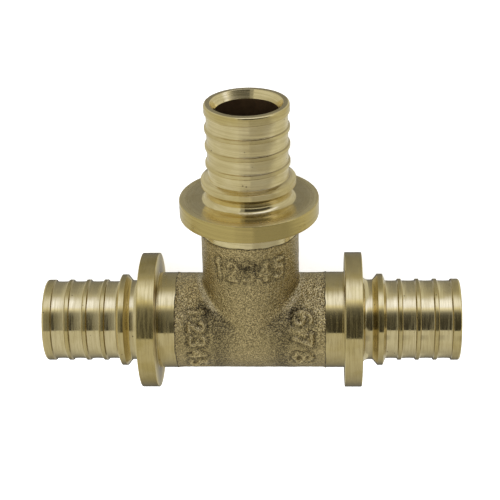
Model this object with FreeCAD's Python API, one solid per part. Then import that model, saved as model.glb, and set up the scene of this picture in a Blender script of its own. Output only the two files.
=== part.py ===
import FreeCAD, Part
import math
import os

# Pipe tee of cast brass, turned at its three ends. Millimetres.
# Each end is a ribbed spigot that an expanded plastic pipe is pushed over, and a sliding
# sleeve is drawn over the pipe until it meets the collar. The run lies along X and the
# branch along +Y, and the origin is where their axes cross. The tee lies on the rims of
# its three equal collars, so Z points up.

# Reach of each arm, from the crossing of the axes to the spigot's end
run_reach = 34.3
branch_reach = 38.7

# Diameters along one spigot, from its end inward
rib_diameter = 13.5
groove_diameter = 12.95
bead_diameter = 15.2
neck_diameter = 13.25
collar_diameter = 22.4
band_diameter = 15.9

# Water way, which flares out at each mouth by this much on the radius, and cast body
bore_diameter = 10.0
mouth_flare = 0.75
mouth_angle = 60.0
body_diameter = 15.8
crotch_radius = 0.5

# Lengths along one spigot. The stop bead, the collar and the cast body are placed by
# how far each begins from the spigot's end, and the rest by their own lengths.
end_chamfer = 0.4
end_rib_length = 1.35
rib_count = 4
rib_pitch = 2.93
rib_crest = 0.6
rib_flank = 0.3
bead_start = 12.2
bead_rise = 0.48
bead_crest = 0.84
bead_fall = 0.77
collar_start = 16.1
collar_thickness = 2.85
neck_flare = 1.0
body_start = 21.5

axis_x = FreeCAD.Vector(1, 0, 0)
axis_y = FreeCAD.Vector(0, 1, 0)
axis_z = FreeCAD.Vector(0, 0, 1)
crossing = FreeCAD.Vector(0, 0, 0)
quarter_turn = 90.0
half_turn = 180.0
full_turn = 360.0


def rib_outline():
    """Points (inset, radius) of the ribs, from the spigot's end to the foot of the last rib."""
    rib_radius = rib_diameter / 2
    groove_radius = groove_diameter / 2
    points = [
        (0, rib_radius - end_chamfer),
        (end_chamfer, rib_radius),
        (end_rib_length, rib_radius),
        (end_rib_length + rib_flank, groove_radius),
    ]
    for rib in range(1, rib_count):
        crest_end = end_rib_length + rib * rib_pitch
        crest_start = crest_end - rib_crest
        points.append((crest_start - rib_flank, groove_radius))
        points.append((crest_start, rib_radius))
        points.append((crest_end, rib_radius))
        points.append((crest_end + rib_flank, groove_radius))
    return points


def bead_outline():
    """Points (inset, radius) of the stop bead that limits how far the pipe goes on."""
    crest_start = bead_start + bead_rise
    crest_end = crest_start + bead_crest
    return [
        (bead_start, groove_diameter / 2),
        (crest_start, bead_diameter / 2),
        (crest_end, bead_diameter / 2),
        (crest_end + bead_fall, neck_diameter / 2),
    ]


def collar_outline():
    """Points (inset, radius) of the neck's flare, the collar and the turned band behind it."""
    collar_end = collar_start + collar_thickness
    return [
        (collar_start - neck_flare, neck_diameter / 2),
        (collar_start, neck_diameter / 2 + neck_flare),
        (collar_start, collar_diameter / 2),
        (collar_end, collar_diameter / 2),
        (collar_end, band_diameter / 2),
        (body_start, band_diameter / 2),
    ]


def spigot(reach):
    """Solid turned outside of one spigot along +X, from its end to the cast body."""
    outline = [(0, 0)] + rib_outline() + bead_outline() + collar_outline() + [(body_start, 0)]
    corners = [FreeCAD.Vector(reach - inset, radius, 0) for inset, radius in outline]
    section = Part.Face(Part.makePolygon(corners + corners[:1]))
    return section.revolve(crossing, axis_x, full_turn)


def water_way(reach):
    """What is bored out of one arm along +X: the bore and the flared mouth."""
    bore_radius = bore_diameter / 2
    mouth_radius = bore_radius + mouth_flare
    mouth_depth = mouth_flare / math.tan(math.radians(mouth_angle / 2))
    bore = Part.makeCylinder(bore_radius, reach, crossing, axis_x)
    mouth_base = FreeCAD.Vector(reach - mouth_depth, 0, 0)
    mouth = Part.makeCone(bore_radius, mouth_radius, mouth_depth, mouth_base, axis_x)
    return bore.fuse(mouth)


def cast_body():
    """Crossing of the two cast barrels, blended where the branch leaves the run."""
    run_end = run_reach - body_start
    branch_end = branch_reach - body_start
    run_start = FreeCAD.Vector(-run_end, 0, 0)
    run = Part.makeCylinder(body_diameter / 2, 2 * run_end, run_start, axis_x)
    branch = Part.makeCylinder(body_diameter / 2, branch_end, crossing, axis_y)
    body = run.fuse(branch).removeSplitter()
    crotch = [edge for edge in body.Edges if is_crotch(edge, run_end, branch_end)]
    return body.makeFillet(crotch_radius, crotch)


def is_crotch(edge, run_end, branch_end):
    """True for the edges along which the branch leaves the run."""
    box = edge.BoundBox
    inside_run = box.XMin > -run_end and box.XMax < run_end
    return inside_run and box.YMax < branch_end and box.XLength > 0


def on_all_arms(make):
    """One shape from make(reach) on each end of the run and on the branch."""
    arms = []
    for turn, reach in ((0, run_reach), (half_turn, run_reach), (quarter_turn, branch_reach)):
        arm = make(reach)
        arm.rotate(crossing, axis_z, turn)
        arms.append(arm)
    return arms


def tee_body():
    """The whole tee: cast body, three turned spigots and the water ways through them."""
    outside = cast_body().multiFuse(on_all_arms(spigot)).removeSplitter()
    for bored in on_all_arms(water_way):
        outside = outside.cut(bored)
    return outside.removeSplitter().Solids[0]


os.makedirs("parts", exist_ok=True)
tee_body().exportStep("parts/tee_body.step")
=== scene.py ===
import math

import bpy
import numpy as np
from mathutils import Matrix, Vector, noise


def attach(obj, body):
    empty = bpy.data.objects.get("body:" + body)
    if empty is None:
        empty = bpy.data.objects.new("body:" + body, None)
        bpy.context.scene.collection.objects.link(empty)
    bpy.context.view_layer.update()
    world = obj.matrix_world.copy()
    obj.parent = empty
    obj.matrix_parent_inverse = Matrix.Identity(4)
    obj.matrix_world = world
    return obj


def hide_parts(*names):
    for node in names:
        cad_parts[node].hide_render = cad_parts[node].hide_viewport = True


# Pipe tee of cast brass, turned at its three ends. The run lies along X, the branch along +Y,
# and the tee lies on the rims of its collars. Lengths here are millimetres.
MM = 0.001

# Lengths and radii of the part, as in its solid
RUN_REACH = 34.3
BRANCH_REACH = 38.7
BODY_START = {"right": 22.05, "left": 21.95, "branch": 21.6}
BORE_RADIUS = 5.0
MOUTH_RADIUS = 5.75
MOUTH_ANGLE = 60.0
RIB_RADIUS = 6.75
GROOVE_RADIUS = 6.475
BEAD_RADIUS = 7.6
NECK_RADIUS = 6.625
COLLAR_RADIUS = 11.2
BAND_RADIUS = 7.95
BODY_RADIUS = 7.9
RIB_COUNT = 4
RIB_PITCH = 2.93
END_RIB_LENGTH = 1.35
RIB_CREST = 0.6
# Each rib's outboard foot and edge from the start of its crest, and its inboard edge and foot from the end
RIB_OUTER = (-0.02, 0.12)
RIB_INNER = (0.06, 0.2)
# How much deeper a groove is in its middle, and the radius of that shallow curve
GROOVE_SAG = 0.06
GROOVE_CURVE = 9.0
BEAD_START = 12.2
BEAD_RISE = 0.48
BEAD_CREST = 0.88
BEAD_FALL = 0.77
COLLAR_START = 16.1
COLLAR_THICKNESS = 2.85

# Each arm's reach and axis, and the zones of its surface in the order of their materials
ARMS = (("right", RUN_REACH), ("left", RUN_REACH), ("branch", BRANCH_REACH))
AXES = {"right": (1, 0, 0), "left": (-1, 0, 0), "branch": (0, 1, 0)}
ZONES = ("bore", "turned", "cast")
# A distance that stands for no lip or stroke near
NO_LIP = 99.0
# Shifts that give each arm rings and a lip of its own
RING_SHIFT = 9.0
LIP_SHIFT = 5.0
# Slack in telling which face of the outline a point is on
SLACK = 0.01

# Rounds that the lathe leaves on the edges and in the corners, how closely their arcs are followed, and the
# most of a side that a round may take
MOUTH_ROUND = 0.08
END_ROUND = 0.36
CREST_ROUND = 0.05
FOOT_ROUND = 0.12
BEAD_ROUND = 0.08
NECK_CURVE = 0.5
NECK_FILLET = 1.3
COLLAR_ROUND = 0.13
ROUND_CHORD = 0.006
ROUND_SHARE = 0.62

# Residue and painted shade in the corners of the outline, at the start and the end of each round: on a flank
# that faces the body, on one that faces the end, at the foot of the bead's fall and in the neck's fillet;
# real residue of the lathe, with painted shade where the corners and the rib edges fall dark
PLAIN = (0.0, 0.0)
INNER_STAIN_SHADE = (0.0, 0.7, 1.0, 0.0)
OUTER_STAIN_SHADE = (0.0, 0.7, 0.4, 0.0)
NECK_STAIN_SHADE = (0.25, 0.25)
FILLET_STAIN_SHADE = (0.06, 0.22)
# Share of the painted shade that is left at the left side of the branch, where its flanks catch the light,
# and the width of its change
STAIN_SHADE_FADE = 0.25
STAIN_SHADE_CHANGE = 4.0

# Mesh density: segments round a turned surface (twice as many round the cast one), step along the cast
# barrels, rows in the bore and in the crossing, and how far out the crossing's rows begin
SEGMENTS = 128
CAST_STEP = 0.19
BORE_ROWS = 5
MITER_ROWS = 36
MITER_START = 8.6
# Vertices this close are one, corners this straight stay sharp, and a length that only guards a division
WELD_REACH = 1e-5
STRAIGHT = 1e-3
TINY = 1e-6
# Seeds of the noises after those of the grain, and what moves each seed's noise to another place
LIP_SEED = 3
RAGGED_SEED = 7
WAVER_SEED = 8
KEPT_SEED = 9
SEED_SHIFT = (17.3, -9.1, 5.7)

# Cast skin: blend of the barrels at the corners and in the valley of the crotch, how often a vertex is
# pulled onto them, and the grain as sizes and heights
CORNER_BLEND = 0.75
VALLEY_BLEND = 1.6
PULLS = 3
GRAIN = ((2.6, 0.035), (0.95, 0.030), (0.48, 0.022))
# The lip where the turning stops: the insets of its rows, its height and fade, how far it wanders along the
# arm and over what sizes, how ragged its height is, how much grain is left at it, and the reach of its dark
# edge
LIP_STEPS = (0.0, 0.03, 0.1, 0.2, 0.33, 0.48)
LIP_HEIGHT = 0.18
LIP_FADE = 0.3
LIP_WANDER = 0.15
LIP_WANDER_SIZES = (0.9, 0.35)
LIP_WANDER_SMALL = 0.7
LIP_CIRCLE = 3.0
WANDER_FADE = 1.6
RAGGED_LEVEL = 0.5
RAGGED_SHARE = 0.6
RAGGED_SIZE = 0.7
GRAIN_AT_LIP = 0.3
GRAIN_FADE = 0.5
EDGE_REACH = 0.14

# Raised numerals of the casting: plain counting numbers, worn and blurred
STROKES = {
    "1": ((0.25, 0.78), (0.55, 1.0), (0.55, 0.0)),
    "2": ((0.1, 0.75), (0.2, 0.93), (0.5, 1.0), (0.8, 0.93), (0.9, 0.74), (0.8, 0.55), (0.1, 0.0),
          (0.92, 0.0)),
    "3": ((0.1, 0.9), (0.45, 1.0), (0.8, 0.92), (0.86, 0.74), (0.75, 0.57), (0.45, 0.52), (0.78, 0.46),
          (0.9, 0.26), (0.8, 0.07), (0.45, 0.0), (0.1, 0.08)),
    "4": ((0.7, 0.0), (0.7, 1.0), (0.08, 0.3), (0.95, 0.3)),
    "5": ((0.85, 1.0), (0.2, 1.0), (0.14, 0.55), (0.5, 0.62), (0.85, 0.5), (0.9, 0.27), (0.75, 0.06),
          (0.4, 0.0), (0.08, 0.08)),
    "6": ((0.8, 0.95), (0.5, 1.0), (0.2, 0.8), (0.1, 0.4), (0.2, 0.08), (0.5, 0.0), (0.82, 0.1), (0.9, 0.3),
          (0.78, 0.5), (0.5, 0.56), (0.2, 0.45)),
    "7": ((0.1, 1.0), (0.9, 1.0), (0.4, 0.0)),
    "8": ((0.5, 0.53), (0.2, 0.66), (0.15, 0.83), (0.5, 1.0), (0.85, 0.83), (0.8, 0.66), (0.5, 0.53),
          (0.15, 0.38), (0.1, 0.18), (0.5, 0.0), (0.9, 0.18), (0.85, 0.38), (0.5, 0.53)),
}
# Each row of numerals: its digits, the arm, how far out it starts, its height, its middle angle, its pitch
NUMERALS = (
    ("12345", "run", -9.9, 2.5, 88.0, 2.5),
    ("678", "run", 7.1, 2.9, 86.0, 3.7),
    ("12345", "branch", 11.4, 3.1, 90.0, 2.6),
)
NUMERAL_WIDTH = 0.68
STROKE_WIDTH = 0.26
RELIEF = 0.36
# The hollow round the strokes: its depth, its middle in stroke widths and its width
MOAT = 0.12
MOAT_MIDDLE = 2.2
MOAT_WIDTH = 0.3
# How far the strokes waver, how much of their height is left, and how much of that on the branch; beyond the
# margin round a row nothing is measured
STROKE_WAVER = 0.1
WAVER_SIZE = 0.8
KEPT_LEVEL = 0.72
KEPT_SHARE = 0.5
KEPT_SIZE = 1.6
BRANCH_KEPT = 0.82
NUMERAL_MARGIN = 2.0
# Darker patch over the middle of the branch's numerals: its place across and along, and its reach
DARK_PATCH_PLACE = (0.2, 13.6)
DARK_PATCH_REACH = (1.9, 0.9)

# The crotch: a painted highlight along it on the run's side, dirt and painted shade in the crease beyond it,
# each with its fades and the heights between which it changes, and the turn between the barrels at which
# both are full
CROTCH_HIGHLIGHT_RISE = 0.2
CROTCH_HIGHLIGHT_REACH = 0.9
CROTCH_HIGHLIGHT_FADE = 0.3
CROTCH_HIGHLIGHT_RIGHT = 0.5
CROTCH_HIGHLIGHT_DEPTH = (5.4, 7.0)
DIRT_SHADE_REACH = (0.7, 1.4)
DIRT_SHADE_FADES = (0.5, 1.4)
DIRT_SHADE_OVER = 0.4
DIRT_SHADE_DEPTH = (4.0, 5.6)
CROTCH_TURN = 0.2
# Painted shade down the branch's flanks: where it begins, as a share of the radius, and how strong it is
FLANK_SHADE = (0.7, 0.4)
# Painted glints and dark specks near the lips of the run's upper half, where the light falls, fewer on the
# left:
# reach, share, and where they begin and the height over which they fill
GLINT_REACH = 5.5
GLINT_LEFT = 0.55
GLINT_RISE = (-1.0, 4.0)
# How far off its barrel a point may lie and still be on it, and how far off it is surely on the other
ON_BARREL = 0.5
OFF_BRANCH = 0.3

# Colours, linear, and roughness from the bottoms to the tops of the lathe's rings or the casting's grains
BRASS_LIGHT = (0.90, 0.79, 0.465)
BRASS_DARK = (0.79, 0.68, 0.385)
GOLD_LIGHT = (0.63, 0.51, 0.198)
GOLD_DARK = (0.57, 0.46, 0.175)
PIT_COLOUR = (0.10, 0.07, 0.03)
PIT_SHARE = 0.9
# Residue and painted shade in the turned corners and along the rib edges
STAIN_SHADE_COLOUR = (0.14, 0.09, 0.03)
STAIN_SHADE_SHARE = 0.75
TURNED_ROUGHNESS = (0.24, 0.08)
ANISOTROPY = 0.9
ANISOTROPY_TURN = 0.25
SATIN_ROUGHNESS = 0.36
SATIN_EDGE = 0.05
# Where gold begins below the outermost radius and the height over which it fills, and how golden the parts
# of the spigots are
GOLD_START = 0.15
GOLD_RISE = 0.1
RUN_GOLD = 0.5
BAND_GOLD = 0.42
COLLAR_GOLD = {"right": 0.5, "left": 0.7}
BRANCH_GOLD = 0.08
BRANCH_RIB_GOLD = 0.4
END_RIB_GOLD = 0.7
CAST_LIGHT = (0.80, 0.66, 0.345)
CAST_DARK = (0.38, 0.305, 0.15)
CAST_WARM = (0.50, 0.41, 0.20)
# Worn tops of the numerals; also the colour of the painted glints near the lips
CAST_WORN_AND_GLINT = (0.95, 0.80, 0.44)
# Painted highlight along the crotch
CROTCH_HIGHLIGHT_COLOUR = (0.80, 0.71, 0.48)
# Dirt and painted shade in the crotch, the moats and on the branch's flanks
CAST_DIRT_SHADE = (0.07, 0.055, 0.03)
CAST_ROUGHNESS = (0.26, 0.14)
CAST_BUMP = 0.36
# The bore's brass, painted dark for the shade inside it
BORE_SHADE_LIGHT = (0.14, 0.085, 0.04)
BORE_SHADE_DARK = (0.05, 0.03, 0.015)
BORE_METAL = 0.7
BORE_ROUGHNESS = 0.5
FLOOR_COLOUR = (0.85, 0.85, 0.85)
FLOOR_ROUGHNESS = 0.9
# Noises of the materials: grain size in millimetres, detail and roughness
WIDE_RINGS = (0.30, 2.0, 0.6)
FINE_RINGS = (0.09, 2.0, 0.6)
TURNED_CLOUD = (3.5, 3.0, 0.55)
FINE_GRAIN = (0.20, 1.0, 0.6)
COARSE_GRAIN = (0.4, 1.0, 0.5)
CAST_CLOUD = (3.2, 3.0, 0.5)
BORE_CLOUD = (1.2, 3.0, 0.6)
# The lathe's rings: shares of the wide and the fine ones, how fast they change round the part, and the
# strength and depth of their bump
RING_SHARES = (0.75, 0.25)
RING_DRIFT = 0.06
RING_BUMP = (0.35, 0.012)
# Pits in the turned faces: spacing of the cells, share of the cells without one, radius, and depth in rings
PIT_SPACING = 1.6
PIT_CHANCE = (0.56, 0.60)
PIT_RADIUS = (0.05, 0.085)
PIT_DEPTH = 3.0
# Shares of the fine and the coarse grain in the casting's specks and in its bump
SPECK_SHARES = (0.8, 0.2)
BUMP_SHARES = (0.4, 0.6)
# Ranges of a noise's values over which a colour changes, some with the share it changes from and to
MIDDLE = (0.40, 0.60)
GOLD_CLOUD = (0.42, 0.66, 0.0, 0.25)
WARM_CLOUD = (0.4, 0.65, 0.0, 0.4)
WORN_SPECKS = (0.34, 0.50)
GLINT_SPECKS = (0.50, 0.58)
CROTCH_HIGHLIGHT_SPECKS = (0.30, 0.50)
DIRT_SHADE_SPECKS = (0.42, 0.58, 0.9, 0.4)
PIT_SPECKS = (0.41, 0.48, 0.55, 0.0)
# How much of each colour is laid over the casting, how much painted shade the moats add, and how much the
# lips' edges are darkened
WORN_SHARE = 0.8
GLINT_SHARE = 0.8
CROTCH_HIGHLIGHT_SHARE = 0.7
DIRT_SHADE_SHARE = 0.95
MOAT_SHADE = 0.95
EDGE_DARKENING = 2.0
# Sockets of the Mix node for colours
MIX_INPUTS = (6, 7)
MIX_OUTPUT = 2

# What the metal sees: level and tint by the angle in degrees from straight up, over the branch's end and
# round under the floor
PALE = (0.95, 1.0, 1.32)
COOL = (0.97, 1.0, 1.22)
EVEN = (1.0, 0.97, 0.9)
WARM = (1.0, 0.93, 0.76)
PANELS = (
    (-180, 0.22, EVEN), (-165, 0.15, EVEN), (-145, 0.12, EVEN), (-130, 0.15, EVEN), (-113, 0.23, EVEN),
    (-98, 0.34, EVEN), (-86, 0.40, EVEN), (-70, 0.48, EVEN), (-45, 0.54, EVEN), (-4.4, 0.54, EVEN),
    (-2.6, 0.045, WARM), (16, 0.045, WARM), (30, 0.055, WARM), (41, 0.09, EVEN), (48, 0.18, EVEN),
    (54, 0.46, EVEN), (60, 0.87, EVEN), (67, 1.07, PALE), (76, 1.14, PALE), (84, 1.09, PALE),
    (92, 0.83, COOL), (104, 0.47, EVEN), (118, 0.31, EVEN), (140, 0.26, EVEN), (180, 0.22, EVEN),
)
# Where the panels end in degrees to the side, above the floor and below it, and what is seen beyond them
LEFT_PANEL = (-21.0, -16.0)
NEAR_PANEL = (-10.5, -7.0)
NEAR_SHARE = 0.38
RIGHT_PANEL = (54.0, 70.0)
FLOOR_MIDDLE = -3.5
FLOOR_SIDES = (8.5, 14.5)
FLOOR_HEIGHT = (-0.15, 0.05)
SIDE_COLOUR = (0.62, 0.61, 0.56)
# A dimmer patch low on the right: its edge in degrees to the side, its top and foot by the direction along
# the branch, its foot over the floor, and how dim it is
DIM_PANEL = (4.0, 11.0)
DIM_TOP = (-0.28, -0.36)
DIM_FOOT = (-0.62, -0.50)
DIM_HEIGHT = (0.0, 0.2)
DIM_SHARE = 0.3
BLACK = (0.0, 0.0, 0.0)
WHITE = (1.0, 1.0, 1.0)
# What rays that are neither glossy nor the camera's see of the room
ROOM_COLOUR = (0.7, 0.7, 0.7)
# How much the floor glows to the camera and half its side, and the lamp's power, side and place, in metres
FLOOR_TO_EYE = 0.75
FLOOR_HALF = 3.0
LAMP_WATTS = 4.0
LAMP_SIZE = 0.7
LAMP_PLACE = (-0.15, 0.25, 0.8)

# Camera of the photo: turned, raised and rolled by these angles round the point it looks at, with its focal
# length in pixels of a photo of this width
CAMERA_TURN = math.radians(3.032)
CAMERA_RISE = math.radians(26.89)
CAMERA_ROLL = math.radians(-1.577)
CAMERA_DISTANCE = 235.0
CAMERA_TARGET = (-0.056, 13.002, 0.0)
CAMERA_SENSOR = 36.0
PHOTO_FOCUS = 1441.549
PHOTO_WIDTH = 500.0
CAMERA_LENS = CAMERA_SENSOR * PHOTO_FOCUS / PHOTO_WIDTH
CAMERA_CLIP = (0.005, 20.0)


def corner(before, here, after, radius):
    """Points of an arc of this radius that rounds the corner at here."""
    here = np.array(here, float)
    back = np.array(before, float) - here
    ahead = np.array(after, float) - here
    back_length = np.linalg.norm(back)
    ahead_length = np.linalg.norm(ahead)
    back /= back_length
    ahead /= ahead_length
    opening = math.acos(max(-1.0, min(1.0, float(back @ ahead))))
    turn = math.pi - opening
    if turn < STRAIGHT:
        return [tuple(here)]
    reach = radius * math.tan(turn / 2)
    reach = min(reach, ROUND_SHARE * back_length, ROUND_SHARE * ahead_length)
    radius = reach / math.tan(turn / 2)
    bisector = back + ahead
    bisector /= np.linalg.norm(bisector)
    centre = here + bisector * radius / math.cos(turn / 2)
    step_angle = 2 * math.acos(1 - min(1.0, ROUND_CHORD / radius))
    steps = max(2, math.ceil(turn / step_angle))
    start = here + back * reach - centre
    sense = 1.0 if back[0] * ahead[1] - back[1] * ahead[0] < 0 else -1.0
    points = []
    for step in range(steps + 1):
        angle = sense * turn * step / steps
        cos, sin = math.cos(angle), math.sin(angle)
        across, up = cos * start[0] - sin * start[1], sin * start[0] + cos * start[1]
        points.append((centre[0] + across, centre[1] + up))
    return points


def turned_outline():
    """Points (inset, radius, residue and painted shade) of one spigot, from the foot of its mouth over its
    ribs and collar to the cast body. The inset is the distance from the spigot's end."""
    mouth_depth = (MOUTH_RADIUS - BORE_RADIUS) / math.tan(math.radians(MOUTH_ANGLE / 2))
    plain = [(mouth_depth, BORE_RADIUS, FOOT_ROUND, PLAIN)]
    plain += [(0, MOUTH_RADIUS, MOUTH_ROUND, PLAIN), (0, RIB_RADIUS, END_ROUND, PLAIN)]
    for rib in range(RIB_COUNT):
        crest_end = END_RIB_LENGTH + rib * RIB_PITCH
        crest_start = crest_end - RIB_CREST
        if rib:
            plain += [(crest_start + RIB_OUTER[0], GROOVE_RADIUS, FOOT_ROUND, OUTER_STAIN_SHADE[:2])]
            plain += [(crest_start + RIB_OUTER[1], RIB_RADIUS, CREST_ROUND, OUTER_STAIN_SHADE[2:])]
        plain += [(crest_end + RIB_INNER[0], RIB_RADIUS, CREST_ROUND, INNER_STAIN_SHADE[:2])]
        plain += [(crest_end + RIB_INNER[1], GROOVE_RADIUS, FOOT_ROUND, INNER_STAIN_SHADE[2:])]
        groove_end = BEAD_START if rib == RIB_COUNT - 1 else crest_start + RIB_PITCH
        plain += [((crest_end + groove_end) / 2, GROOVE_RADIUS - GROOVE_SAG, GROOVE_CURVE, PLAIN)]
    crest_start = BEAD_START + BEAD_RISE
    crest_end = crest_start + BEAD_CREST
    plain += [(BEAD_START, GROOVE_RADIUS, FOOT_ROUND, OUTER_STAIN_SHADE[:2])]
    plain += [(crest_start, BEAD_RADIUS, BEAD_ROUND, PLAIN)]
    plain += [(crest_end, BEAD_RADIUS, BEAD_ROUND, INNER_STAIN_SHADE[:2])]
    plain += [(crest_end + BEAD_FALL, NECK_RADIUS, NECK_CURVE, NECK_STAIN_SHADE)]
    collar_end = COLLAR_START + COLLAR_THICKNESS
    plain += [(COLLAR_START, NECK_RADIUS, NECK_FILLET, FILLET_STAIN_SHADE)]
    plain += [(COLLAR_START, COLLAR_RADIUS, COLLAR_ROUND, PLAIN)]
    plain += [(collar_end, COLLAR_RADIUS, COLLAR_ROUND, PLAIN)]
    plain += [(collar_end, BAND_RADIUS, FOOT_ROUND, INNER_STAIN_SHADE[2:])]
    before = (min(BODY_START.values()), BORE_RADIUS)
    last = (min(BODY_START.values()), BAND_RADIUS)
    points = []
    # The third value of each point is residue and painted shade, eased along each round
    for index, (inset, radius, fillet, (from_stain_shade, to_stain_shade)) in enumerate(plain):
        after = plain[index + 1][:2] if index + 1 < len(plain) else last
        arc = corner(before, (inset, radius), after, fillet)
        for step, point in enumerate(arc):
            points.append((*point, from_stain_shade + (to_stain_shade - from_stain_shade) * step / (len(arc) - 1)))
        before = (inset, radius)
    return points


def smooth(value):
    """value held to 0..1 and eased at both ends."""
    value = np.clip(value, 0.0, 1.0)
    return value * value * (3 - 2 * value)


def noise_at(points, size, seed):
    """Noise between about -1 and 1 at these points, for grains of this size."""
    shift = Vector([seed * part for part in SEED_SHIFT])
    return np.array([noise.noise(Vector(point) / size + shift) for point in points])


def miter(radius, angles, arm):
    """How far out of the crossing this arm's surface of this radius begins, at each angle round it."""
    across = radius * np.cos(angles)
    return np.abs(across) if arm == "branch" else np.maximum(across, 0.0)


def arm_rows(arm, reach):
    """Rows (zone, angles, distance along the arm, radius, distance from the lip, residue and painted shade)
    from the crossing through the bore, over the spigot and back to the crossing."""
    angles = np.arange(SEGMENTS) * 2 * math.pi / SEGMENTS
    fine = np.arange(2 * SEGMENTS) * math.pi / SEGMENTS
    rows = []
    bore_from = miter(BORE_RADIUS, angles, arm)
    outline = turned_outline()
    bore_to = reach - outline[0][0]
    for row in range(BORE_ROWS):
        along = bore_from + (bore_to - bore_from) * row / BORE_ROWS
        rows.append(("bore", angles, along, BORE_RADIUS, NO_LIP, 0))
    for inset, radius, stain_shade in outline:
        rows.append(("turned", angles, np.full(SEGMENTS, reach - inset), radius, NO_LIP, stain_shade))
    body_end = reach - BODY_START[arm]
    circle = (np.cos(fine) * LIP_CIRCLE, np.sin(fine) * LIP_CIRCLE, np.full(fine.size, len(arm) * LIP_SHIFT))
    edge = np.stack(circle, axis=1)
    wide, small = (noise_at(edge, size, LIP_SEED + place) for place, size in enumerate(LIP_WANDER_SIZES))
    wander = LIP_WANDER * (wide + LIP_WANDER_SMALL * small)
    rest = body_end - LIP_STEPS[-1] - MITER_START
    count = math.ceil(rest / CAST_STEP)
    insets = list(LIP_STEPS) + [LIP_STEPS[-1] + rest * (step + 1) / count for step in range(count)]
    for number, inset in enumerate(insets):
        along = body_end - inset + wander * (1 - smooth(inset / WANDER_FADE))
        if number == 0:
            rows.append(("turned", angles, along[::2], BAND_RADIUS, NO_LIP, 0))
        else:
            rows.append(("cast", fine, along, BODY_RADIUS, inset, 0))
    cast_to = miter(BODY_RADIUS, fine, arm)
    for row in range(1, MITER_ROWS + 1):
        share = row / MITER_ROWS
        along = MITER_START + (cast_to - MITER_START) * share
        rows.append(("cast", fine, along, BODY_RADIUS, NO_LIP, 0))
    return rows


def stitch(first, first_count, second, second_count):
    """Faces between two rows whose vertices start at first and second."""
    faces = []
    for j in range(first_count):
        k = (j + 1) % first_count
        if first_count == second_count:
            faces.append((first + j, second + j, second + k, first + k))
        else:
            middle = second + 2 * j + 1
            faces.append((first + j, second + 2 * j, middle))
            faces.append((first + j, middle, first + k))
            faces.append((first + k, middle, second + 2 * k))
    return faces


def gilding(inset, radius, arm):
    """How golden the surface is: the outermost turned faces are yellower than the grooves, on the branch
    most, and so are the run's bands."""
    rib = (inset < BEAD_START) * smooth((radius - GROOVE_RADIUS) / (RIB_RADIUS - GROOVE_RADIUS))
    on_bead = (inset > BEAD_START) * (inset < COLLAR_START - NECK_FILLET)
    bead = on_bead * smooth((radius - BEAD_RADIUS + GOLD_START) / GOLD_RISE)
    collar = smooth((radius - COLLAR_RADIUS + GOLD_START) / GOLD_RISE)
    if arm == "branch":
        rib *= np.where(inset < END_RIB_LENGTH, END_RIB_GOLD, BRANCH_RIB_GOLD)
        spigot = BRANCH_GOLD * (inset < COLLAR_START)
        return np.maximum.reduce([rib, BRANCH_RIB_GOLD * bead, collar, spigot])
    band = BAND_GOLD * (inset > COLLAR_START + COLLAR_THICKNESS + SLACK)
    return np.maximum.reduce([RUN_GOLD * rib, RUN_GOLD * bead, COLLAR_GOLD[arm] * collar, band])


def satin(inset, radius):
    """Where the lathe left a satin face: the collar's two sides."""
    on_collar = (inset > COLLAR_START - SLACK) * (inset < COLLAR_START + COLLAR_THICKNESS + SLACK)
    return on_collar * (radius > NECK_RADIUS + NECK_FILLET - SLACK) * (radius < COLLAR_RADIUS - SATIN_EDGE)


def tee_rows():
    """Every row of the three arms as arrays over all vertices, and the faces between them with their zones.
    The residue and painted shade fade towards the left side of the branch, where its flanks catch the light."""
    place, lathe, spin, lip, cast, gold, dull, stain_shade = ([] for _ in range(8))
    faces, zones = [], []
    start = 0
    for arm, reach in ARMS:
        axis = np.array(AXES[arm], float)
        previous = None
        for zone, angles, along, radius, lip_distance, row_stain_shade in arm_rows(arm, reach):
            across, up = radius * np.cos(angles), radius * np.sin(angles)
            side = {
                "right": np.stack([along, across, up], axis=1),
                "left": np.stack([-along, across, up], axis=1),
                "branch": np.stack([-across, along, up], axis=1),
            }[arm]
            count = len(angles)
            place.append(side)
            rings = (along, np.full(count, radius), np.full(count, RING_SHIFT * len(arm)))
            lathe.append(np.stack(rings, axis=1))
            spin.append(np.cross(axis, side - (side @ axis)[:, None] * axis) / radius)
            lip.append(np.full(count, lip_distance))
            cast.append(np.full(count, float(zone == "cast")))
            gold.append(gilding(reach - along, np.full(count, radius), arm))
            dull.append(satin(reach - along, np.full(count, radius)).astype(float))
            # Painted shade: weaker on the left side of the branch, where the flanks catch the light
            fade = 1.0
            if arm == "branch":
                fade = STAIN_SHADE_FADE + (1 - STAIN_SHADE_FADE) * smooth(side[:, 0] / STAIN_SHADE_CHANGE + 0.5)
            stain_shade.append(np.full(count, float(row_stain_shade)) * fade)
            if previous:
                new = stitch(previous[0], previous[1], start, count)
                faces += [face[::-1] for face in new] if arm == "left" else new
                zones += [ZONES.index(zone if zone == "cast" else previous[2])] * len(new)
            previous = (start, count, zone)
            start += count
    arrays = [np.concatenate(values) for values in (place, lathe, spin, lip, cast, gold, dull, stain_shade)]
    return arrays, faces, zones


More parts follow.
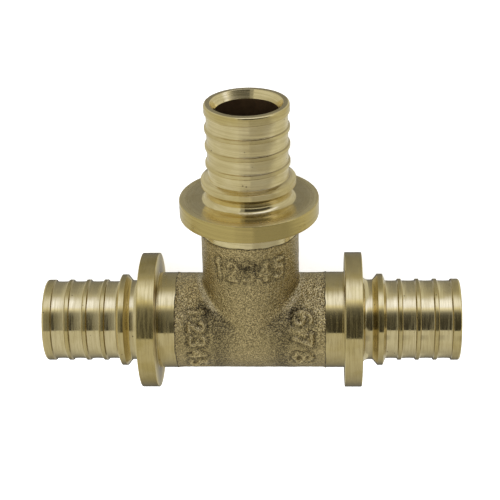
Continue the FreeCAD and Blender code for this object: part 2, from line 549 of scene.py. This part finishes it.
def union_field(points):
    """Signed distance to the two blended cast barrels, the way out of them, how far on the run's side of the
    crotch a point is, and how much the barrels turn there."""
    x, y, z = points.T
    below = np.minimum(y, 0.0)
    run_out = np.hypot(y, z)
    branch_out = np.sqrt(x * x + z * z + below * below)
    run, branch = run_out - BODY_RADIUS, branch_out - BODY_RADIUS
    run_way = np.stack([np.zeros_like(x), y, z], axis=1) / run_out[:, None]
    branch_way = np.stack([x, below, z], axis=1) / branch_out[:, None]
    turn = 1 - np.sum(run_way * branch_way, axis=1)
    blend = (CORNER_BLEND + VALLEY_BLEND * (z / BODY_RADIUS) ** 2) * turn + TINY
    share = np.clip(0.5 + 0.5 * (run - branch) / blend, 0.0, 1.0)
    field = run * (1 - share) + branch * share - blend * share * (1 - share)
    way = run_way * (1 - share)[:, None] + branch_way * share[:, None]
    way /= np.linalg.norm(way, axis=1)[:, None]
    return field, way, branch - run, smooth(turn / CROTCH_TURN)


def stroke_distance(u, v, points):
    """Distance in the plane from (u, v) to a line through these points."""
    best = np.full(u.shape, NO_LIP)
    for (u0, v0), (u1, v1) in zip(points, points[1:]):
        du, dv = u1 - u0, v1 - v0
        share = np.clip(((u - u0) * du + (v - v0) * dv) / (du * du + dv * dv), 0.0, 1.0)
        best = np.minimum(best, np.hypot(u - u0 - share * du, v - v0 - share * dv))
    return best


def numeral_distance(points):
    """Distance over the skin from each point to the nearest stroke of a numeral."""
    x, y, z = points.T
    best = np.full(x.shape, NO_LIP)
    for digits, arm, start, height, middle, pitch in NUMERALS:
        across, along = (y, x) if arm == "run" else (-x, y)
        round_way = BODY_RADIUS * (np.arctan2(z, across) - math.radians(middle))
        here = (abs(np.hypot(across, z) - BODY_RADIUS) < ON_BARREL) & (z > -NUMERAL_MARGIN)
        here &= (along > start - NUMERAL_MARGIN) & (along < start + height + NUMERAL_MARGIN)
        width = NUMERAL_WIDTH * pitch
        for position, digit in enumerate(digits):
            left = (position - len(digits) / 2 + 0.5) * pitch - width / 2
            path = [(left + width * u, start + height * v) for u, v in STROKES[digit]]
            best[here] = np.minimum(best[here], stroke_distance(round_way[here], along[here], path))
    return best


def off_branch(points):
    """How far off the branch's barrel each point lies."""
    return abs(np.hypot(points[:, 0], points[:, 2]) - BODY_RADIUS)


def cast_skin(points, lip):
    """The cast vertices moved onto the blended barrels and roughened, with what their material needs."""
    for _ in range(PULLS):
        field, way, side, turned = union_field(points)
        points = points - field[:, None] * way
    x, y, z = points.T
    # A painted highlight along the crotch on the run's side, fainter on the right
    highlight_end = smooth((z - CROTCH_HIGHLIGHT_DEPTH[0]) / (CROTCH_HIGHLIGHT_DEPTH[1] - CROTCH_HIGHLIGHT_DEPTH[0]))
    crotch_highlight = turned * (1 - highlight_end) * smooth(side / CROTCH_HIGHLIGHT_RISE)
    crotch_highlight *= 1 - smooth((side - CROTCH_HIGHLIGHT_REACH) / CROTCH_HIGHLIGHT_FADE)
    crotch_highlight *= np.where(x > 0, CROTCH_HIGHLIGHT_RIGHT, 1.0)
    # Dirt and painted shade in the crease of the crotch, beyond the painted highlight
    dirt_shade_start = DIRT_SHADE_REACH[0] * (1 - highlight_end) - DIRT_SHADE_OVER * highlight_end
    dirt_shade = smooth((side - dirt_shade_start) / DIRT_SHADE_FADES[0]) * (1 - smooth((side - DIRT_SHADE_REACH[1]) / DIRT_SHADE_FADES[1]))
    dirt_shade *= turned * smooth((z - DIRT_SHADE_DEPTH[0]) / (DIRT_SHADE_DEPTH[1] - DIRT_SHADE_DEPTH[0]))
    # A darker patch over the middle of the branch's numerals
    dark_patch = ((x - DARK_PATCH_PLACE[0]) / DARK_PATCH_REACH[0]) ** 2 + ((y - DARK_PATCH_PLACE[1]) / DARK_PATCH_REACH[1]) ** 2
    dirt_shade = np.maximum(dirt_shade, np.exp(-dark_patch) * (z > 0))
    # Painted shade down the branch's flanks
    flank = smooth((abs(x) / BODY_RADIUS - FLANK_SHADE[0]) / (1 - FLANK_SHADE[0]))
    dirt_shade = np.maximum(dirt_shade, FLANK_SHADE[1] * flank * (y > 0) * (off_branch(points) < ON_BARREL))
    height = np.zeros(len(points))
    for seed, (size, amount) in enumerate(GRAIN):
        height += amount * noise_at(points, size, seed)
    height *= GRAIN_AT_LIP + (1 - GRAIN_AT_LIP) * smooth(lip / GRAIN_FADE)
    ragged = RAGGED_LEVEL + RAGGED_SHARE * noise_at(points, RAGGED_SIZE, RAGGED_SEED)
    height += (BAND_RADIUS - BODY_RADIUS + LIP_HEIGHT * ragged) * np.exp(-lip / LIP_FADE)
    kept = np.where(y > BODY_RADIUS, BRANCH_KEPT, 1.0)
    strokes = numeral_distance(points) + STROKE_WAVER / kept**2 * noise_at(points, WAVER_SIZE, WAVER_SEED)
    worn = kept * (KEPT_LEVEL + KEPT_SHARE * noise_at(points, KEPT_SIZE, KEPT_SEED))
    relief = worn * np.exp(-((strokes / STROKE_WIDTH) ** 2))
    moat = kept * np.exp(-(((strokes - MOAT_MIDDLE * STROKE_WIDTH) / MOAT_WIDTH) ** 2))
    height += RELIEF * relief - MOAT * moat
    # Painted glints and dark specks near the lips of the run's upper half, where the light falls
    glint_patch = (1 - smooth(lip / GLINT_REACH)) * smooth((y - GLINT_RISE[0]) / GLINT_RISE[1])
    glint_patch *= (off_branch(points) > OFF_BRANCH) * (y < BODY_RADIUS) * np.where(x > 0, 1.0, GLINT_LEFT)
    marks = {"crotch_highlight": crotch_highlight, "dirt_shade": dirt_shade, "relief": relief, "moat": moat, "glint_patch": glint_patch}
    marks["edge"] = np.exp(-((lip / EDGE_REACH) ** 2))
    return points + height[:, None] * way, marks


def build_tee():
    """The whole tee as one closed mesh, with what its materials need kept on its vertices."""
    (place, lathe, spin, lip, cast, gold, dull, stain_shade), faces, zones = tee_rows()
    grid = np.round(place / WELD_REACH).astype(np.int64)
    _, first, weld = np.unique(grid, axis=0, return_index=True, return_inverse=True)
    weld = weld.ravel()
    place, lathe, spin, lip, cast = (values[first] for values in (place, lathe, spin, lip, cast))
    skin = cast > 0.5
    marks = {"gold": gold[first], "satin": dull[first], "stain_shade": stain_shade[first]}
    place[skin], cast_marks = cast_skin(place[skin], lip[skin])
    for name, values in cast_marks.items():
        marks[name] = np.zeros(len(place))
        marks[name][skin] = values
    faces = [weld[list(face)] for face in faces]
    mesh = bpy.data.meshes.new("tee_skin")
    mesh.from_pydata((place * MM).tolist(), [], [face.tolist() for face in faces])
    mesh.polygons.foreach_set("material_index", zones)
    mesh.polygons.foreach_set("use_smooth", [True] * len(faces))
    normals = np.zeros_like(place)
    for size in (3, 4):
        group = np.array([face for face in faces if len(face) == size])
        area = np.cross(place[group[:, 2]] - place[group[:, 0]], place[group[:, -1]] - place[group[:, 1]])
        for column in range(size):
            np.add.at(normals, group[:, column], area)
    normals /= np.linalg.norm(normals, axis=1)[:, None]
    mesh.normals_split_custom_set_from_vertices(normals.tolist())
    for name, values in (("lathe", lathe), ("spin", spin)):
        mesh.attributes.new(name, "FLOAT_VECTOR", "POINT").data.foreach_set("vector", values.ravel())
    for name, values in marks.items():
        mesh.attributes.new(name, "FLOAT", "POINT").data.foreach_set("value", values)
    tee = bpy.data.objects.new("tee", mesh)
    bpy.context.collection.objects.link(tee)
    return tee


# Materials

def new_tree(name):
    """A new material's node tree with a Principled shader wired to its output."""
    material = bpy.data.materials.new(name)
    material.use_nodes = True
    tree = material.node_tree
    return material, tree, tree.nodes["Principled BSDF"]


def add(tree, kind, links=(), values=(), **settings):
    """A node of this kind, with linked inputs, constant inputs and settings."""
    node = tree.nodes.new(kind)
    for key, value in settings.items():
        setattr(node, key, value)
    for key, socket in dict(links).items():
        tree.links.new(socket, node.inputs[key])
    for key, value in dict(values).items():
        node.inputs[key].default_value = value
    return node


def math_node(tree, operation, first, second=None, clamp=False):
    """The result of an operation on one or two sockets or numbers."""
    node = tree.nodes.new("ShaderNodeMath")
    node.operation = operation
    node.use_clamp = clamp
    for index, value in enumerate((first, second)):
        if isinstance(value, (int, float)):
            node.inputs[index].default_value = value
        elif value is not None:
            tree.links.new(value, node.inputs[index])
    return node.outputs[0]


def times(tree, first, second):
    """The product of two sockets or numbers."""
    return math_node(tree, "MULTIPLY", first, second)


def weighed(tree, first, second, shares):
    """The sum of two sockets, each by its share."""
    return math_node(tree, "ADD", times(tree, first, shares[0]), times(tree, second, shares[1]))


def ranged(tree, value, low, high, to_low=0.0, to_high=1.0, smoothly=True):
    """value taken from low..high to to_low..to_high, held at the ends."""
    kind = "SMOOTHSTEP" if smoothly else "LINEAR"
    node = add(tree, "ShaderNodeMapRange", {"Value": value}, interpolation_type=kind)
    for name, number in (("From Min", low), ("From Max", high), ("To Min", to_low), ("To Max", to_high)):
        socket = node.inputs[name]
        if isinstance(number, (int, float)):
            socket.default_value = number
        else:
            tree.links.new(number, socket)
    return node.outputs[0]


def millimetres(tree):
    """The part's own coordinates in millimetres."""
    coordinates = add(tree, "ShaderNodeTexCoord")
    scaled = add(tree, "ShaderNodeVectorMath", {0: coordinates.outputs["Object"]}, operation="SCALE")
    scaled.inputs["Scale"].default_value = 1 / MM
    return scaled.outputs[0]


def grain(tree, vector, size, detail, rough):
    """Noise of this grain size in millimetres, about 0 to 1."""
    values = {"Scale": 1 / size, "Detail": detail, "Roughness": rough}
    return add(tree, "ShaderNodeTexNoise", {"Vector": vector}, values).outputs[0]


def mixed(tree, share, first, second):
    """Colour between two colours or colour sockets."""
    node = tree.nodes.new("ShaderNodeMix")
    node.data_type = "RGBA"
    tree.links.new(share, node.inputs[0])
    for index, value in zip(MIX_INPUTS, (first, second)):
        if isinstance(value, tuple):
            node.inputs[index].default_value = (*value, 1.0)
        else:
            tree.links.new(value, node.inputs[index])
    return node.outputs[MIX_OUTPUT]


def attribute(tree, name, output="Fac"):
    """What the mesh keeps under this name on its vertices."""
    return add(tree, "ShaderNodeAttribute", attribute_name=name).outputs[output]


def turned_brass():
    """Bright brass with the fine rings of the lathe and a few pits."""
    material, tree, shader = new_tree("turned_brass")
    place = millimetres(tree)
    slow = add(tree, "ShaderNodeVectorMath", {0: place}, {"Scale": RING_DRIFT}, operation="SCALE").outputs[0]
    lathe = attribute(tree, "lathe", "Vector")
    rings = add(tree, "ShaderNodeVectorMath", {0: lathe, 1: slow}, operation="ADD").outputs[0]
    wide = grain(tree, rings, *WIDE_RINGS)
    fine = grain(tree, rings, *FINE_RINGS)
    streak = weighed(tree, wide, fine, RING_SHARES)
    tone = ranged(tree, streak, *MIDDLE)
    colour = mixed(tree, tone, BRASS_DARK, BRASS_LIGHT)
    cloud = ranged(tree, grain(tree, place, *TURNED_CLOUD), *GOLD_CLOUD)
    golden = math_node(tree, "ADD", attribute(tree, "gold"), cloud, clamp=True)
    colour = mixed(tree, golden, colour, mixed(tree, tone, GOLD_DARK, GOLD_LIGHT))
    # Residue and painted shade darken the corners and edges of the turned brass
    colour = mixed(tree, times(tree, attribute(tree, "stain_shade"), STAIN_SHADE_SHARE), colour, STAIN_SHADE_COLOUR)
    cells = add(tree, "ShaderNodeTexVoronoi", {"Vector": place}, {"Scale": 1 / PIT_SPACING})
    chance = add(tree, "ShaderNodeSeparateColor", {0: cells.outputs["Color"]}).outputs[0]
    hole = ranged(tree, cells.outputs["Distance"], *PIT_RADIUS, 1.0, 0.0)
    pit = times(tree, hole, ranged(tree, chance, *PIT_CHANCE))
    colour = mixed(tree, times(tree, pit, PIT_SHARE), colour, PIT_COLOUR)
    tree.links.new(colour, shader.inputs["Base Color"])
    dull = times(tree, attribute(tree, "satin"), SATIN_ROUGHNESS)
    rough = math_node(tree, "MAXIMUM", ranged(tree, streak, *MIDDLE, *TURNED_ROUGHNESS), dull)
    tree.links.new(rough, shader.inputs["Roughness"])
    shader.inputs["Metallic"].default_value = 1.0
    shader.inputs["Anisotropic"].default_value = ANISOTROPY
    shader.inputs["Anisotropic Rotation"].default_value = ANISOTROPY_TURN
    tree.links.new(attribute(tree, "spin", "Vector"), shader.inputs["Tangent"])
    height = math_node(tree, "SUBTRACT", streak, times(tree, pit, PIT_DEPTH))
    strength, depth = RING_BUMP
    bump = add(tree, "ShaderNodeBump", {"Height": height}, {"Strength": strength, "Distance": depth * MM})
    tree.links.new(bump.outputs[0], shader.inputs["Normal"])
    return material


def cast_brass():
    """Dull grainy skin of the casting, with dirt and painted shade in the crotch, round the numerals and
    down the branch's flanks, a painted highlight along the crotch and painted glints near the lips.
    """
    material, tree, shader = new_tree("cast_brass")
    place = millimetres(tree)
    fine = grain(tree, place, *FINE_GRAIN)
    coarse = grain(tree, place, *COARSE_GRAIN)
    speck = weighed(tree, fine, coarse, SPECK_SHARES)
    colour = mixed(tree, ranged(tree, speck, *MIDDLE), CAST_DARK, CAST_LIGHT)
    cloud = ranged(tree, grain(tree, place, *CAST_CLOUD), *WARM_CLOUD)
    colour = mixed(tree, cloud, colour, CAST_WARM)
    worn = times(tree, attribute(tree, "relief"), ranged(tree, speck, *WORN_SPECKS))
    colour = mixed(tree, times(tree, worn, WORN_SHARE), colour, CAST_WORN_AND_GLINT)
    # Painted glints near the lips, in the worn colour
    glint_patch = attribute(tree, "glint_patch")
    glint = times(tree, glint_patch, ranged(tree, speck, *GLINT_SPECKS))
    colour = mixed(tree, times(tree, glint, GLINT_SHARE), colour, CAST_WORN_AND_GLINT)
    # Painted highlight along the crotch
    crotch_highlight = times(tree, attribute(tree, "crotch_highlight"), ranged(tree, fine, *CROTCH_HIGHLIGHT_SPECKS))
    colour = mixed(tree, times(tree, crotch_highlight, CROTCH_HIGHLIGHT_SHARE), colour, CROTCH_HIGHLIGHT_COLOUR)
    # Dirt and painted shade from the crotch, the flanks and the moats, and the lips' darkened edges
    marks = math_node(tree, "ADD", attribute(tree, "dirt_shade"), times(tree, attribute(tree, "moat"), MOAT_SHADE))
    marks = math_node(tree, "ADD", marks, times(tree, attribute(tree, "edge"), EDGE_DARKENING))
    dirt_shade = times(tree, times(tree, marks, ranged(tree, speck, *DIRT_SHADE_SPECKS)), DIRT_SHADE_SHARE)
    # Dark specks among the painted glints
    pits = times(tree, glint_patch, ranged(tree, speck, *PIT_SPECKS))
    dirt_shade = math_node(tree, "MAXIMUM", dirt_shade, pits, clamp=True)
    tree.links.new(mixed(tree, dirt_shade, colour, CAST_DIRT_SHADE), shader.inputs["Base Color"])
    tree.links.new(ranged(tree, speck, *MIDDLE, *CAST_ROUGHNESS), shader.inputs["Roughness"])
    shader.inputs["Metallic"].default_value = 1.0
    height = weighed(tree, fine, coarse, BUMP_SHARES)
    bump = add(tree, "ShaderNodeBump", {"Height": height}, {"Strength": 1.0, "Distance": CAST_BUMP * MM})
    tree.links.new(bump.outputs[0], shader.inputs["Normal"])
    return material


def bore_painted_dark():
    """Inside of the water ways, its brass painted dark as the shade in them."""
    material, tree, shader = new_tree("bore_painted_dark")
    cloud = grain(tree, millimetres(tree), *BORE_CLOUD)
    tree.links.new(mixed(tree, cloud, BORE_SHADE_DARK, BORE_SHADE_LIGHT), shader.inputs["Base Color"])
    shader.inputs["Metallic"].default_value = BORE_METAL
    shader.inputs["Roughness"].default_value = BORE_ROUGHNESS
    return material


# Surroundings

def studio_world():
    """White to the eye; to the metal, the panels and the dark gap of the photo's studio, by direction."""
    world = bpy.data.worlds.new("studio")
    world.use_nodes = True
    bpy.context.scene.world = world
    tree = world.node_tree
    background = tree.nodes["Background"]
    way = add(tree, "ShaderNodeSeparateXYZ", {0: add(tree, "ShaderNodeTexCoord").outputs["Generated"]})
    x, y, z = way.outputs
    lift = math_node(tree, "ARCTAN2", y, z)
    turned_share = ranged(tree, lift, -math.pi, math.pi, smoothly=False)
    ramp = add(tree, "ShaderNodeValToRGB", {0: turned_share})
    stops = ramp.color_ramp.elements
    while len(stops) < len(PANELS):
        stops.new(0.5)  # its place is set below
    for stop, (angle, level, tint) in zip(stops, PANELS):
        stop.position = (angle + 180) / 360
        stop.color = (*(level * part for part in tint), 1.0)
    aside = times(tree, math_node(tree, "ARCSINE", x), 180 / math.pi)
    left = ranged(tree, aside, *LEFT_PANEL, 1.0, 0.0)
    above = math_node(tree, "MAXIMUM", left, ranged(tree, aside, *RIGHT_PANEL))
    above = math_node(tree, "MAXIMUM", above, ranged(tree, aside, *NEAR_PANEL, NEAR_SHARE, 0.0))
    off_middle = math_node(tree, "ABSOLUTE", math_node(tree, "SUBTRACT", aside, FLOOR_MIDDLE))
    below = ranged(tree, off_middle, *FLOOR_SIDES)
    side = ranged(tree, z, *FLOOR_HEIGHT, below, above)
    dim = times(tree, ranged(tree, y, *DIM_TOP), ranged(tree, y, *DIM_FOOT))
    dim = times(tree, dim, ranged(tree, z, *DIM_HEIGHT))
    dim = times(tree, dim, ranged(tree, aside, *DIM_PANEL))
    panels = mixed(tree, times(tree, dim, DIM_SHARE), ramp.outputs[0], BLACK)
    metal = mixed(tree, side, panels, SIDE_COLOUR)
    ray = add(tree, "ShaderNodeLightPath")
    plain = mixed(tree, ray.outputs["Is Camera Ray"], ROOM_COLOUR, WHITE)
    tree.links.new(mixed(tree, ray.outputs["Is Glossy Ray"], plain, metal), background.inputs["Color"])
    background.inputs["Strength"].default_value = 1.0


def studio_floor():
    """Pale floor that the collars' rims lie on."""
    half, low = FLOOR_HALF, -COLLAR_RADIUS * MM
    corners = [(-half, -half, low), (half, -half, low), (half, half, low), (-half, half, low)]
    mesh = bpy.data.meshes.new("floor")
    mesh.from_pydata(corners, [], [(0, 1, 2, 3)])
    floor = bpy.data.objects.new("floor", mesh)
    bpy.context.collection.objects.link(floor)
    material, tree, shader = new_tree("floor_paper")
    shader.inputs["Base Color"].default_value = (*FLOOR_COLOUR, 1.0)
    shader.inputs["Roughness"].default_value = FLOOR_ROUGHNESS
    shader.inputs["Specular IOR Level"].default_value = 0.0
    ray = add(tree, "ShaderNodeLightPath")
    glow = times(tree, ray.outputs["Is Camera Ray"], FLOOR_TO_EYE)
    shader.inputs["Emission Color"].default_value = (*WHITE, 1.0)
    tree.links.new(glow, shader.inputs["Emission Strength"])
    mesh.materials.append(material)
    floor.visible_glossy = False


def soft_lamp():
    """One large soft lamp over the tee."""
    light = bpy.data.lights.new("softbox", "AREA")
    light.shape = "SQUARE"
    light.size = LAMP_SIZE
    light.energy = LAMP_WATTS
    lamp = bpy.data.objects.new("softbox", light)
    lamp.location = LAMP_PLACE
    lamp.rotation_euler = (Vector((0, 0, 0)) - lamp.location).to_track_quat("-Z", "Y").to_euler()
    lamp.visible_glossy = False
    bpy.context.collection.objects.link(lamp)


def photo_camera():
    """The camera of the photo, as fitted to its outlines."""
    turn, rise, roll = CAMERA_TURN, CAMERA_RISE, CAMERA_ROLL
    back = Vector((math.sin(turn) * math.cos(rise), math.sin(rise), math.cos(turn) * math.cos(rise)))
    level = Vector((math.cos(turn), 0, -math.sin(turn)))
    upright = back.cross(level)
    right = math.cos(roll) * level + math.sin(roll) * upright
    up = math.cos(roll) * upright - math.sin(roll) * level
    data = bpy.data.cameras.new("photo_camera")
    data.sensor_width = CAMERA_SENSOR
    data.lens = CAMERA_LENS
    data.clip_start, data.clip_end = CAMERA_CLIP
    camera = bpy.data.objects.new("photo_camera", data)
    place = (Vector(CAMERA_TARGET) + CAMERA_DISTANCE * back) * MM
    camera.matrix_world = Matrix.Translation(place) @ Matrix((right, up, back)).transposed().to_4x4()
    bpy.context.collection.objects.link(camera)
    bpy.context.scene.camera = camera


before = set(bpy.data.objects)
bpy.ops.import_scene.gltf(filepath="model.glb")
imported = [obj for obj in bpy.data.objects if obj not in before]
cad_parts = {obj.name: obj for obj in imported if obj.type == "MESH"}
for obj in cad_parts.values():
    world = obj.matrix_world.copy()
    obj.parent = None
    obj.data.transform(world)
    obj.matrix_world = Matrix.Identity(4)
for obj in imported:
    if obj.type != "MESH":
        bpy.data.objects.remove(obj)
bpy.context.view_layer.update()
tee = build_tee()
for material in (bore_painted_dark(), turned_brass(), cast_brass()):
    tee.data.materials.append(material)
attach(tee, "root")
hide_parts("tee_body")
studio_world()
studio_floor()
soft_lamp()
photo_camera()
bpy.context.scene.view_settings.view_transform = "Standard"
